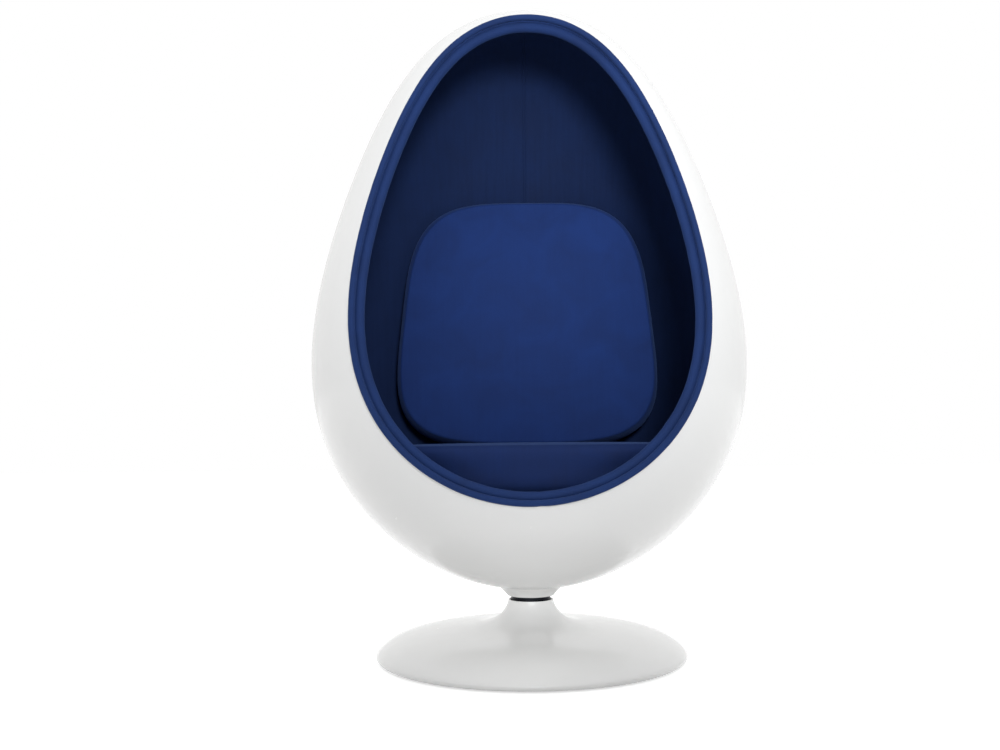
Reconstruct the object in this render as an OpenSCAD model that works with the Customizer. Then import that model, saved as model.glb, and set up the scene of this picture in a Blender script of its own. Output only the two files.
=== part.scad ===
// Swivelling pod chair: an egg-shaped shell on a domed pedestal, lined and cushioned in velvet.
// The origin is on the floor on the swivel axis. X is the sitter's width and -Y is the front.

/* [Pod shell] */
// Greatest width of the shell
pod_w = 898; // [860:2:940]
// Height of the shell from its foot to its crown
pod_h = 1212; // [1180:1:1250]
// Depth of a level section of the shell as a share of its width
pod_depth_share = 0.873; // [0.86:0.001:0.9]
// Height of the shell's foot above the floor
pod_clearance = 149; // [149:1:170]
// Distance from the swivel axis forward to the shell's foot
pod_set_forward = 51; // [40:1:56]
// Lean of the shell backwards, in degrees
pod_lean = 2.3; // [0:0.1:4]
// Thickness of the moulded shell
shell_t = 6; // [4:0.5:7]

/* [Opening] */
// Height above the foot at which the reach of the opening is measured
opening_mid = 674; // [650:1:700]
// Distance from the shell's own axis forward to its cut edge at that height
opening_reach = 234; // [220:1:242]
// Lean of the opening backwards from the shell's own axis, in degrees
opening_lean = 8.5; // [7:0.25:11]

/* [Lining and rim] */
// Thickness of the foam that is bonded inside the shell
foam_t = 18; // [14:0.5:20]
// Thickness of the velvet lining
velvet_t = 1.5; // [1:0.1:2]
// Width of the tape in the lining's middle seam
seam_w = 3; // [2:0.5:6]
// Thickness of the tape in the lining's middle seam
seam_t = 0.9; // [0.5:0.1:1.2]
// Thickness of the outer welt on the shell's edge
welt_d = 12.4; // [10:0.2:13]
// Thickness of the padded roll inside the welt
roll_d = 21; // [18:0.5:22]

/* [Seat] */
// Height of the seat board's top above the shell's foot
board_top = 199; // [190:1:210]
// Thickness of the seat board
board_t = 15; // [12:1:18]
// Distance from the opening's plane back to the seat cushion's top front edge
seat_behind = 15; // [8:0.5:20]
// Height of the seat cushion at its edges
seat_h = 88; // [75:1:95]
// Rise of the seat cushion's top in its middle
seat_crown = 12; // [6:1:20]
// Thickness of a cushion cover
cover_t = 2; // [1.5:0.1:3]

/* [Back cushion] */
// Width of the back cushion at half its height
back_w = 574; // [540:1:580]
// Height of the back cushion
back_h = 570; // [540:1:575]
// Distance from the shell's own axis back to the front of the back cushion's foot
back_set = 150; // [130:1:160]
// Rise of the back cushion's front in its middle
back_crown = 32; // [20:1:36]
// Lean of the back cushion's front from the shell's own axis, in degrees
back_lean = 2.7; // [1:0.1:4]

/* [Pedestal] */
// Radius of the pedestal's foot
base_r = 323; // [312:1:335]
// Height of the pedestal's neck above the floor
neck_h = 122; // [122:1:123]
// Radius of the pedestal's neck
neck_r = 47; // [46:0.5:50]
// Height above the floor at which the pedestal is widest, over its turned-in lip
lip_h = 12; // [10:0.5:15]
// Rise of the dome from there to the neck
dome_h = 50; // [44:1:56]
// Reach over which the neck flares into the dome
flare_l = 27; // [23:1:32]
// Wall of the pedestal's moulding
base_wall = 4; // [3:0.5:4]
// Distance from the pedestal's widest circle in to the ballast plate's edge
ballast_in = 33; // [27:1:43]
// Thickness of the ballast plate
ballast_t = 8; // [6:0.5:10]
// Number of floor glides, and of the screws between them
glide_count = 6; // [5:1:8]
// Radius of a floor glide
glide_r = 14; // [10:1:18]
// Thickness of a floor glide
glide_t = 3; // [2.5:0.5:4]

/* [Column and bearing] */
// Outer radius of the column
column_r = 28; // [27:0.5:30]
// Height of the column's top above the floor
column_top = 107; // [106:0.5:107]
// Radius of the column's foot flange
foot_flange_r = 75; // [70:1:90]
// Thickness of the column's foot flange
foot_flange_t = 8; // [6:1:10]
// Radius of the spindle
spindle_r = 15; // [13:0.5:16]
// Wall of a bush
bush_t = 5; // [4:0.5:5]
// Length of a bush
bush_l = 15; // [12:1:18]
// Height of the lower bush above the floor
bush_low = 28; // [28:1:34]
// Diameter of a bearing ball
ball_d = 7; // [6:0.5:7]
// Number of bearing balls
ball_count = 12; // [8:1:14]
// Outer radius of the bearing
race_r = 30; // [29:0.5:32]
// Thickness of a bearing race
race_t = 4; // [3.5:0.25:4]
// Radius of the dark disc on top of the spindle
disc_r = 41; // [39.5:0.5:41]

/* [Collar and fixings] */
// Gap that shows between the neck and the collar
neck_gap = 8; // [7:0.5:10]
// Radius of the collar at its foot
collar_r = 48; // [46:0.5:52]
// Radius of the circle of mounting bolts
bolt_circle_r = 33; // [31:0.5:34]
// Diameter of a mounting bolt
bolt_d = 8; // [6:0.5:8]
// Number of mounting bolts
bolt_count = 4; // [3:1:6]
// Radius of the plate inside the shell
plate_r = 56; // [50:1:62]
// Thickness of the plate inside the shell
plate_t = 6; // [4:1:8]
// Height of that plate above the floor
plate_z = 188; // [186:1:196]

/* [Hidden] */

// Clearance where soft or faceted pieces lie against something
lay_gap = 0.3;
// Clearance of a close fit between turned pieces
fit_gap = 0.05;
// Overrun of a cut past the faces that it goes through
overrun = 5;
// Half the side of a block that is larger than the whole chair
beyond = pod_h * 1.5;
quarter = 90;
half_turn = 180;
full_turn = 360;

// Shape of the egg: how the girth swells and narrows with height
swell_shares = [-0.2583, 0.0208, 0.1838, 0.039];
egg_steps = 44;
// Small steps for slopes, and tries for lengths that are found by closing in on them
angle_step = 0.01;
share_step = 0.001;
inner_tries = 6;
edge_tries = 30;

function sum(items) = items * [for (item = items) 1];
function powers_sum(shares, v) = sum([for (i = [0 : len(shares) - 1]) shares[i] * pow(v, i + 1)]);
function bare_girth(a) = sin(a) * exp(powers_sum(swell_shares, -cos(a)));
girth_peak = max([for (a = [0 : 1 : half_turn]) bare_girth(a)]);

// Radius and height of the egg's surface at the angle a up from its foot, before it is squeezed
function girth(a) = pod_w / 2 * bare_girth(a) / girth_peak;
function rise(a) = pod_h * (1 - cos(a)) / 2;
function angle_at(z) = acos(1 - 2 * min(max(z / pod_h, 0), 1));
function unit(v) = v / norm(v);
function slope(a) =
    let (d = angle_step) unit([girth(a + d) - girth(a - d), rise(a + d) - rise(a - d)]);
function skin(a, inset) = let (u = slope(a)) [girth(a) - u.y * inset, rise(a) + u.x * inset];
// Radius at a height of the surface that lies inside the egg by an inset
function inner_angle(z, inset, a, tries) =
    tries == 0 ? a : inner_angle(z, inset, angle_at(z - slope(a).x * inset), tries - 1);
function reach_at(z, inset) = skin(inner_angle(z, inset, angle_at(z), inner_tries), inset).x;

function meridian(inset) =
    [for (i = [0 : egg_steps])
        let (p = skin(half_turn * i / egg_steps, inset)) [i % egg_steps == 0 ? 0 : p.x, p.y]];
function backwards(points) = [for (i = [len(points) - 1 : -1 : 0]) points[i]];

// Places what belongs to the pod, which leans back a little over the swivel axis
module in_pod() {
    translate([0, -pod_set_forward, pod_clearance])
        rotate([-pod_lean, 0, 0])
            children();
}

// Squeezes a round form to the shell's depth
module squeezed() {
    scale([1, pod_depth_share, 1]) children();
}

module egg_layer(outside, inside) {
    rotate_extrude($fn = 96)
        polygon(concat(meridian(outside), backwards(meridian(inside))));
}

module egg_core(inset) {
    rotate_extrude($fn = 96)
        polygon(meridian(inset));
}

// Everything ahead of the opening's plane, set back from the shell's edge, before the squeeze
module ahead_of_opening(set_back) {
    translate([0, -(opening_reach - set_back / cos(opening_lean)) / pod_depth_share, opening_mid])
        rotate([-atan(tan(opening_lean) / pod_depth_share), 0, 0])
            translate([-beyond, -2 * beyond, -beyond])
                cube(2 * beyond);
}

module below(height) {
    translate([-beyond, -beyond, height - 2 * beyond]) cube(2 * beyond);
}

// Copies a piece round the swivel axis
module ring_of(count, radius, turn = 0) {
    for (i = [0 : count - 1])
        rotate([0, 0, turn + full_turn * i / count])
            translate([radius, 0, 0])
                children();
}

// Closed solid through rings of points, one ring above the other, with a point at each end
function ring_faces(rings, sides) = concat(
    [for (j = [0 : sides - 1]) [rings * sides, j, (j + 1) % sides]],
    [for (i = [0 : rings - 2], j = [0 : sides - 1], half = [0, 1])
        let (k = (j + 1) % sides, low = i * sides, high = low + sides)
        half == 0 ? [low + j, high + j, low + k] : [high + j, high + k, low + k]],
    [for (j = [0 : sides - 1])
        let (last = (rings - 1) * sides) [rings * sides + 1, last + (j + 1) % sides, last + j]]
);

module skinned(rings, foot, top) {
    polyhedron(
        points = concat([for (ring = rings) each ring], [foot, top]),
        faces = ring_faces(len(rings), len(rings[0])),
        convexity = 4
    );
}

// Floor glides, ballast and the pedestal's moulding
ballast_r = base_r - ballast_in;
ballast_top = glide_t + ballast_t;
plate_edge = 26;
screw_circle_r = ballast_r - glide_r - plate_edge;
service_hole_r = 20;
base_lift = 2;
lip_in = 14;
dome_power = 5.4;
dome_root = 1.4;
flare_power = 0.72;
base_steps = 30;
lip_steps = 5;

function dome(r) = dome_h * pow(max(1 - pow(r / base_r, dome_power), 0), 1 / dome_root);
function flare(r) =
    (neck_h - lip_h - dome(neck_r)) * exp(-pow(max(r - neck_r, 0) / flare_l, flare_power));
function base_radius(s) = neck_r + (base_r - neck_r) * (1 - cos(half_turn * s)) / 2;
function base_point(s) = let (r = base_radius(s)) [r, lip_h + dome(r) + flare(r)];
function base_slope(s) =
    let (d = share_step) unit(base_point(min(s + d, 1)) - base_point(max(s - d, 0)));
function base_inside(s) =
    let (p = base_point(s), u = base_slope(s), q = p + base_wall * [u.y, -u.x])
    [max(q.x, neck_r - base_wall), min(max(q.y, lip_h), neck_h)];
// The lip turns in under the widest circle, a quarter of an ellipse down to the foot's edge
function lip_point(a, wall) =
    [base_r - lip_in + (lip_in - wall) * cos(a), lip_h - (lip_h - base_lift - wall) * sin(a)];
function base_outline(inside) = concat(
    [for (i = [0 : base_steps]) let (s = i / base_steps) inside ? base_inside(s) : base_point(s)],
    [for (i = [1 : lip_steps]) lip_point(quarter * i / lip_steps, inside ? base_wall : 0)]
);

module floor_glides() {
    color("dimgray")
        ring_of(glide_count, screw_circle_r, full_turn / glide_count / 2)
            cylinder(r = glide_r, h = glide_t, $fn = 32);
}

screw_d = 6;
screw_head_r = 6.5;
screw_head_t = 4;
screw_l = 24;
boss_r = 11;

module ballast_plate() {
    color("#4a4d50")
    difference() {
        translate([0, 0, glide_t]) cylinder(r = ballast_r, h = ballast_t, $fn = 128);
        cylinder(r = service_hole_r, h = ballast_top + overrun, $fn = 48);
        ring_of(glide_count, screw_circle_r)
            cylinder(d = screw_d + 2 * fit_gap, h = ballast_top + overrun, $fn = 24);
        ring_of(glide_count, screw_circle_r)
            cylinder(r = screw_head_r + lay_gap, h = glide_t + screw_head_t, $fn = 24);
        ring_of(column_bolt_count, column_bolt_circle_r)
            cylinder(d = column_bolt_d + 2 * fit_gap, h = ballast_top + overrun, $fn = 24);
    }
}

module base_trumpet() {
    color("white")
    difference() {
        union() {
            rotate_extrude($fn = 128)
                polygon(concat(base_outline(false), backwards(base_outline(true))));
            intersection() {
                ring_of(glide_count, screw_circle_r)
                    translate([0, 0, ballast_top]) cylinder(r = boss_r, h = dome_h, $fn = 32);
                rotate_extrude($fn = 128)
                    polygon(concat([[0, neck_h], [0, base_lift]], backwards(base_outline(false))));
            }
        }
        ring_of(glide_count, screw_circle_r)
            cylinder(d = screw_d + 2 * fit_gap, h = glide_t + screw_l + overrun, $fn = 24);
    }
}

module base_screws() {
    color("silver")
    ring_of(glide_count, screw_circle_r)
        translate([0, 0, glide_t]) {
            cylinder(d = screw_d, h = screw_l, $fn = 24);
            cylinder(r = screw_head_r, h = screw_head_t, $fn = 24);
        }
}

// Column with its foot flange, the bolts that hold it and the bushes inside it
column_bore_r = spindle_r + bush_t + 2 * fit_gap;
column_bolt_d = 8;
column_bolt_count = 6;
column_bolt_circle_r = (foot_flange_r + column_r) / 2;
column_bolt_head_t = 5.5;
hex_across_share = 1.9;

module column() {
    color("#3a3d42")
    difference() {
        union() {
            translate([0, 0, ballast_top]) cylinder(r = foot_flange_r, h = foot_flange_t, $fn = 64);
            translate([0, 0, ballast_top]) cylinder(r = column_r, h = column_top - ballast_top, $fn = 64);
        }
        cylinder(r = column_bore_r, h = column_top + overrun, $fn = 64);
        ring_of(column_bolt_count, column_bolt_circle_r)
            cylinder(d = column_bolt_d + 2 * fit_gap, h = ballast_top + foot_flange_t + overrun, $fn = 24);
    }
}

module column_bolts() {
    color("silver")
    ring_of(column_bolt_count, column_bolt_circle_r) {
        translate([0, 0, glide_t]) cylinder(d = column_bolt_d, h = ballast_t + foot_flange_t, $fn = 24);
        translate([0, 0, ballast_top + foot_flange_t])
            cylinder(d = hex_across_share * column_bolt_d, h = column_bolt_head_t, $fn = 6);
    }
}

module bush(height) {
    translate([0, 0, height])
    difference() {
        cylinder(r = column_bore_r - fit_gap, h = bush_l, $fn = 64);
        translate([0, 0, -overrun]) cylinder(r = spindle_r + fit_gap, h = bush_l + 2 * overrun, $fn = 64);
    }
}

module lower_bush() {
    color("ivory") bush(bush_low);
}

module upper_bush() {
    color("ivory") bush(column_top - bush_l);
}

// Thrust bearing on top of the column
race_clear = 1.5;
groove_depth = 1.8;
groove_gap = 0.1;
ball_circle_r = (spindle_r + race_r + race_clear) / 2;
ball_z = column_top + race_t - groove_depth + ball_d / 2;
upper_race_z = ball_z + ball_d / 2 - groove_depth;
disc_z = upper_race_z + race_t;
race_bore_r = spindle_r + race_clear;
cage_t = 1.6;
cage_wall = 1.2;

module groove() {
    translate([0, 0, ball_z])
        rotate_extrude($fn = 64)
            translate([ball_circle_r, 0]) circle(d = ball_d + 2 * groove_gap, $fn = 32);
}

module race(height) {
    difference() {
        translate([0, 0, height]) cylinder(r = race_r, h = race_t, $fn = 64);
        translate([0, 0, height - overrun]) cylinder(r = race_bore_r, h = race_t + 2 * overrun, $fn = 64);
        groove();
    }
}

module lower_race() {
    color("silver") race(column_top);
}

module upper_race() {
    color("silver") race(upper_race_z);
}

module bearing_balls() {
    color("lightgray")
        ring_of(ball_count, ball_circle_r)
            translate([0, 0, ball_z]) sphere(d = ball_d, $fn = 24);
}

module ball_cage() {
    color("goldenrod")
    difference() {
        translate([0, 0, ball_z - cage_t / 2])
            cylinder(r = race_r - cage_wall, h = cage_t, $fn = 64);
        translate([0, 0, ball_z - cage_t]) cylinder(r = race_bore_r + cage_wall, h = 2 * cage_t, $fn = 64);
        ring_of(ball_count, ball_circle_r)
            translate([0, 0, ball_z - cage_t])
                cylinder(d = ball_d + 2 * groove_gap, h = 2 * cage_t, $fn = 24);
    }
}

// Spindle with the dark disc that shows in the gap, and what keeps it in the column
collar_z = neck_h + neck_gap;
disc_top = collar_z - fit_gap;
spindle_foot = bush_low - lay_gap;
keeper_t = 3.3;
keeper_bolt_d = 10;
keeper_bolt_l = 26;
keeper_head_t = 6.4;
keeper_head_share = 1.7;
spigot_r = 12;
spigot_h = 6;
bolt_head_r = 6.8;
bolt_head_t = 4.4;

module bolt_holes(radius, low, high) {
    ring_of(bolt_count, bolt_circle_r, full_turn / bolt_count / 2)
        translate([0, 0, low]) cylinder(r = radius, h = high - low, $fn = 24);
}

module spindle() {
    color("#26282c")
    difference() {
        union() {
            translate([0, 0, spindle_foot]) cylinder(r = spindle_r, h = disc_top - spindle_foot, $fn = 64);
            translate([0, 0, disc_z]) cylinder(r = disc_r, h = disc_top - disc_z, $fn = 96);
            translate([0, 0, disc_z]) cylinder(r = spigot_r, h = disc_top - disc_z + spigot_h, $fn = 48);
        }
        bolt_holes(bolt_d / 2 + fit_gap, disc_z - overrun, disc_top + overrun);
        bolt_holes(bolt_head_r + fit_gap, disc_z - overrun, disc_z + bolt_head_t + fit_gap);
        translate([0, 0, spindle_foot - overrun])
            cylinder(d = keeper_bolt_d + 2 * fit_gap, h = keeper_bolt_l + 2 * overrun, $fn = 32);
    }
}

module retaining_washer() {
    color("silver")
    difference() {
        translate([0, 0, spindle_foot - keeper_t])
            cylinder(r = column_bore_r - 4 * groove_gap, h = keeper_t - fit_gap, $fn = 48);
        translate([0, 0, spindle_foot - keeper_t - overrun])
            cylinder(d = keeper_bolt_d + 2 * fit_gap, h = keeper_t + 2 * overrun, $fn = 32);
    }
}

module retaining_bolt() {
    color("silver") {
        translate([0, 0, spindle_foot - keeper_t - fit_gap])
            cylinder(d = keeper_bolt_d, h = keeper_t + keeper_bolt_l, $fn = 32);
        translate([0, 0, spindle_foot - keeper_t - fit_gap - keeper_head_t])
            cylinder(d = keeper_head_share * keeper_bolt_d, h = keeper_head_t, $fn = 6);
    }
}

// White collar under the shell, which widens as fast as it rises
collar_rise = 52;

module shell_collar() {
    color("white")
    difference() {
        translate([0, 0, collar_z])
            cylinder(r1 = collar_r, r2 = collar_r + collar_rise, h = collar_rise, $fn = 96);
        in_pod() squeezed() egg_core(-lay_gap);
        bolt_holes(bolt_d / 2 + fit_gap, collar_z - overrun, plate_z);
        translate([0, 0, collar_z - overrun])
            cylinder(r = spigot_r + fit_gap, h = spigot_h + overrun + fit_gap, $fn = 48);
    }
}

nut_t = 6.5;
washer_t = 1.6;
washer_r = 8;
stack_top = plate_z + plate_t + washer_t + nut_t;

module mount_bolts() {
    color("silver")
    ring_of(bolt_count, bolt_circle_r, full_turn / bolt_count / 2)
        translate([0, 0, disc_z]) {
            cylinder(d = bolt_d, h = stack_top + bolt_d / 4 - disc_z, $fn = 24);
            cylinder(r = bolt_head_r, h = bolt_head_t, $fn = 24);
        }
}

module inner_pad() {
    color("burlywood")
    difference() {
        translate([0, 0, collar_z]) cylinder(r = plate_r, h = plate_z - collar_z, $fn = 64);
        in_pod() squeezed()
            difference() {
                translate([-beyond, -beyond, -beyond]) cube(2 * beyond);
                egg_core(shell_t + lay_gap);
            }
        bolt_holes(bolt_d / 2 + fit_gap, collar_z - overrun, plate_z + overrun);
    }
}

module backing_plate() {
    color("#4a4d50")
    difference() {
        translate([0, 0, plate_z]) cylinder(r = plate_r, h = plate_t, $fn = 64);
        bolt_holes(bolt_d / 2 + fit_gap, plate_z - overrun, plate_z + plate_t + overrun);
    }
}

module mount_washers() {
    color("silver")
    difference() {
        bolt_holes(washer_r, plate_z + plate_t, plate_z + plate_t + washer_t);
        bolt_holes(bolt_d / 2 + fit_gap, plate_z, stack_top);
    }
}

module mount_nuts() {
    color("silver")
    difference() {
        ring_of(bolt_count, bolt_circle_r, full_turn / bolt_count / 2)
            translate([0, 0, stack_top - nut_t]) cylinder(r = bolt_d, h = nut_t, $fn = 6);
        bolt_holes(bolt_d / 2 + fit_gap, plate_z, stack_top + overrun);
    }
}

// Moulded shell and what is bonded inside it
lining_inset = shell_t + lay_gap + foam_t + lay_gap;
lining_face = lining_inset + velvet_t;
lining_foot = board_top + lay_gap;
lining_set_back = 20.3;

module outer_shell() {
    color("white")
    difference() {
        in_pod() squeezed()
            difference() {
                egg_layer(0, shell_t);
                ahead_of_opening(0);
            }
        bolt_holes(bolt_d / 2 + fit_gap, collar_z, plate_z);
    }
}

module lined(outside, inside) {
    in_pod() squeezed()
        difference() {
            egg_layer(outside, inside);
            ahead_of_opening(lining_set_back);
            below(lining_foot);
            children();
        }
}

module lining_foam() {
    color("khaki") lined(shell_t + lay_gap, shell_t + lay_gap + foam_t);
}

module lining_half() {
    lined(lining_inset, lining_face)
        translate([-seam_w / 2 - lay_gap, -beyond, -beyond]) cube(2 * beyond);
}

module lining_left() {
    color("midnightblue") lining_half();
}

module lining_right() {
    color("midnightblue") mirror([1, 0, 0]) lining_half();
}

function mirrored(points) = [for (p = points) [-p.x, p.y]];
function egg_outline(inset) = let (half = meridian(inset)) concat(half, backwards(mirrored(half)));

// Tape in the seam, which runs over the ceiling and down the back
module lining_seam() {
    color("navy")
    in_pod() squeezed()
        difference() {
            translate([-seam_w / 2, 0, 0])
                rotate([quarter, 0, quarter])
                    linear_extrude(seam_w)
                        difference() {
                            polygon(egg_outline(lining_inset));
                            polygon(egg_outline(lining_inset + seam_t));
                        }
            ahead_of_opening(lining_set_back);
            below(lining_foot);
            translate([-beyond, -2 * beyond, opening_mid - 2 * beyond]) cube(2 * beyond);
        }
}

// Welt and roll round the opening, which follow the shell's cut edge
rim_rings = 64;
rim_sides = 8;
welt_inset = shell_t * 5 / 6;
roll_step = (welt_d + roll_d) / 2 + lay_gap;
roll_inset = shell_t + roll_d / 2 + lay_gap;
front = [0, -cos(opening_lean), sin(opening_lean)];
up_opening = [0, sin(opening_lean), cos(opening_lean)];

function opening_point(a, far) =
    [far * cos(a), -opening_reach, opening_mid] + far * sin(a) * up_opening;
function outside_egg(p) =
    p.z <= 0 || p.z >= pod_h || norm([p.x, p.y / pod_depth_share]) > girth(angle_at(p.z));
function edge_far(a, low, high, tries) =
    let (mid = (low + high) / 2)
    tries == 0 ? mid :
    outside_egg(opening_point(a, mid)) ? edge_far(a, low, mid, tries - 1)
        : edge_far(a, mid, high, tries - 1);
function inward(p) =
    let (u = slope(angle_at(p.z)), across = unit([p.x, p.y / pod_depth_share]))
    unit([-u.y * across.x, -u.y * across.y / pod_depth_share, u.x]);
// Middle of the welt at the angle a round the opening: it stands just ahead of the shell's edge
function welt_middle(a) =
    let (p = opening_point(a, edge_far(a, 0, pod_h, edge_tries)), n = inward(p))
    p + welt_inset * (n - (n * front) * front) + (welt_d / 2 + lay_gap) * front;
// Middle of the roll: clear of the welt, and inside the shell's wall
function roll_middle(a) =
    let (p = opening_point(a, edge_far(a, 0, pod_h, edge_tries)), n = inward(p), m = welt_middle(a))
    m + max(roll_step, roll_inset - (m - p) * n) * n;

// Closed ring of round section through a list of middles, with each ring of points square to the path
function ring_at(middles, i, d, sides) =
    let (
        count = len(middles),
        along = unit(middles[(i + 1) % count] - middles[(i + count - 1) % count]),
        across = unit(cross(along, front)),
        ahead = cross(across, along)
    )
    [for (j = [0 : sides - 1]) let (b = full_turn * j / sides)
        middles[i] + d / 2 * (cos(b) * across + sin(b) * ahead)];

module closed_roll(middles, d) {
    count = len(middles);
    polyhedron(
        points = [for (i = [0 : count - 1]) each ring_at(middles, i, d, rim_sides)],
        faces = [for (i = [0 : count - 1], j = [0 : rim_sides - 1], half = [0, 1])
            let (
                k = (j + 1) % rim_sides,
                low = i * rim_sides,
                high = (i + 1) % count * rim_sides
            )
            half == 0 ? [low + j, low + k, high + j] : [low + k, high + k, high + j]],
        convexity = 6
    );
}

module rim_welt() {
    color("navy")
    in_pod()
        closed_roll([for (i = [0 : rim_rings - 1]) welt_middle(full_turn * i / rim_rings)], welt_d);
}

module rim_roll() {
    color("navy")
    in_pod()
        closed_roll([for (i = [0 : rim_rings - 1]) roll_middle(full_turn * i / rim_rings)], roll_d);
}

// Seat board on blocks that are bonded to the shell, as far forward as the cushion on it
seat_foot = board_top + lay_gap;
seat_reach = opening_reach + (opening_mid - seat_foot - seat_h) * tan(opening_lean) - seat_behind;
board_gap = 2;
board_bottom = board_top - board_t;
board_r = reach_at(board_bottom, shell_t + board_gap);
block_w = 80;
block_h = 60;
block_turn = 52;
block_in = 46;
board_screw_d = 5;
board_screw_l = 40;
board_screw_head_r = 5;
board_screw_head_t = 3;
block_places = [for (turn = [block_turn, -block_turn], back = [0, half_turn]) turn + back];

function block_middle(a) = (board_r - block_in) * [cos(a), sin(a) * pod_depth_share];

module at_screws() {
    in_pod()
        for (a = block_places)
            translate(concat(block_middle(a), [board_top])) children();
}

module board_blocks() {
    color("burlywood")
    difference() {
        in_pod() squeezed()
            intersection() {
                egg_core(shell_t + lay_gap);
                for (a = block_places)
                    rotate([0, 0, a])
                        translate([board_r - 2 * block_in, -block_w / 2, board_bottom - block_h - fit_gap])
                            cube([3 * block_in, block_w, block_h]);
            }
        at_screws()
            translate([0, 0, -board_screw_l - overrun])
                cylinder(d = board_screw_d + 2 * fit_gap, h = board_screw_l + overrun, $fn = 24);
    }
}

module seat_board() {
    color("peru")
    difference() {
        in_pod() squeezed()
            difference() {
                translate([0, 0, board_bottom]) cylinder(r = board_r, h = board_t, $fn = 96);
                translate([-beyond, -seat_reach / pod_depth_share - 2 * beyond, -beyond]) cube(2 * beyond);
            }
        at_screws() {
            translate([0, 0, -board_t - overrun])
                cylinder(d = board_screw_d + 2 * fit_gap, h = board_t + 2 * overrun, $fn = 24);
            translate([0, 0, -board_screw_head_t - fit_gap])
                cylinder(r = board_screw_head_r + fit_gap, h = board_screw_head_t + overrun, $fn = 24);
        }
    }
}

module board_screws() {
    color("silver")
    at_screws() {
        translate([0, 0, -board_screw_l]) cylinder(d = board_screw_d, h = board_screw_l, $fn = 24);
        translate([0, 0, -board_screw_head_t])
            cylinder(r = board_screw_head_r, h = board_screw_head_t, $fn = 24);
    }
}

// Seat cushion: a straight front, and sides that follow the lining
seat_sides = 48;
seat_corner_power = 10;
seat_gap = 4;
seat_round = 16;
seat_pinch = 5;
// Height up the seat's edge, and how far the side is drawn in there, from the foot to the top seam
seat_level_shares = [0, 0.16, 0.5, 0.86, 1];
seat_draw_shares = [1, 0, 0.5, 0, 0.8];
seat_under_share = 0.6;
// How far out a ring of the top lies, and its share of the crown
crown_ring_shares = [[0.86, 0.3], [0.62, 0.72], [0.32, 0.95]];

function seat_reach_at(a, z) =
    let (
        round_reach = reach_at(z, lining_face + seat_gap),
        front_reach = seat_reach / pod_depth_share / max(-sin(a), share_step)
    )
    pow(pow(round_reach, -seat_corner_power) + pow(front_reach, -seat_corner_power), -1 / seat_corner_power);
function seat_ring(z, draw, out_share, inset) =
    [for (j = [0 : seat_sides - 1])
        let (
            a = full_turn * j / seat_sides,
            far = (seat_reach_at(a, max(z, seat_foot + seat_round)) - draw - inset) * out_share
        )
        [far * cos(a), far * sin(a) * pod_depth_share, z]];
function seat_rings(inset) =
    let (low = seat_foot + inset, high = seat_foot + seat_h - inset)
    concat(
        [seat_ring(low, seat_round, seat_under_share, inset)],
        [for (i = [0 : len(seat_level_shares) - 1])
            seat_ring(low + (high - low) * seat_level_shares[i],
                i == 2 ? seat_pinch : seat_draw_shares[i] * seat_round, 1, inset)],
        [for (c = crown_ring_shares)
            seat_ring(high + seat_crown * c[1], seat_draw_shares[4] * seat_round, c[0], inset)]
    );

module seat_form(inset) {
    skinned(
        seat_rings(inset),
        [0, 0, seat_foot + inset],
        [0, 0, seat_foot + seat_h + seat_crown - inset]
    );
}

module seat_foam() {
    color("khaki") in_pod() seat_form(cover_t + lay_gap);
}

module seat_cover() {
    color("midnightblue")
    in_pod()
    difference() {
        seat_form(0);
        seat_form(cover_t);
    }
}

zip_w = 8;
zip_t = 1.6;
seat_zip_from = 8;
seat_zip_to = 16;

// Flat strip through cross-sections of four points each
module bent_strip(sections) {
    last = len(sections) - 1;
    skinned(sections, (sections[0][0] + sections[0][2]) / 2, (sections[last][0] + sections[last][2]) / 2);
}

// Point on or off the seat's drawn-in side at a station round it, a little above or below its middle
function seat_side(j, up, out) =
    let (
        a = full_turn * j / seat_sides,
        z = seat_foot + seat_h / 2 + up,
        draw = seat_pinch * (1 - abs(up) / seat_h / (seat_level_shares[3] - seat_level_shares[2])),
        far = seat_reach_at(a, z) - draw + lay_gap + out
    )
    [far * cos(a), far * sin(a) * pod_depth_share, z];

module seat_zip() {
    color("#202838")
    in_pod()
        bent_strip([for (j = [seat_zip_from : seat_zip_to])
            [seat_side(j, -zip_w / 2, 0), seat_side(j, -zip_w / 2, zip_t),
                seat_side(j, zip_w / 2, zip_t), seat_side(j, zip_w / 2, 0)]]);
}

// Back cushion: a crowned pad that is wider at its foot, and whose back follows the lining
back_sides = 44;
back_corner_power = 3.7;
back_taper_share = 0.105;
back_round = 12;
back_gap = 1.6;
back_sink = 5.6;
back_foot = seat_foot + seat_h + seat_crown - back_sink;
// Place across the pad's edge from back to front, and how far the side is drawn in there
back_level_shares = [0, 0.22, 0.5, 0.78, 1];
back_draw_shares = [1, 0.3, 0, 0.3, 1];

function bulged(s) = sign(s) * pow(abs(s), 2 / back_corner_power);
function back_edge(t, draw) =
    let (v = bulged(sin(t)), w = bulged(cos(t)))
    [(back_w / 2 - draw) * (1 - back_taper_share * v) * w, (back_h / 2 - draw) * v];
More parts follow.
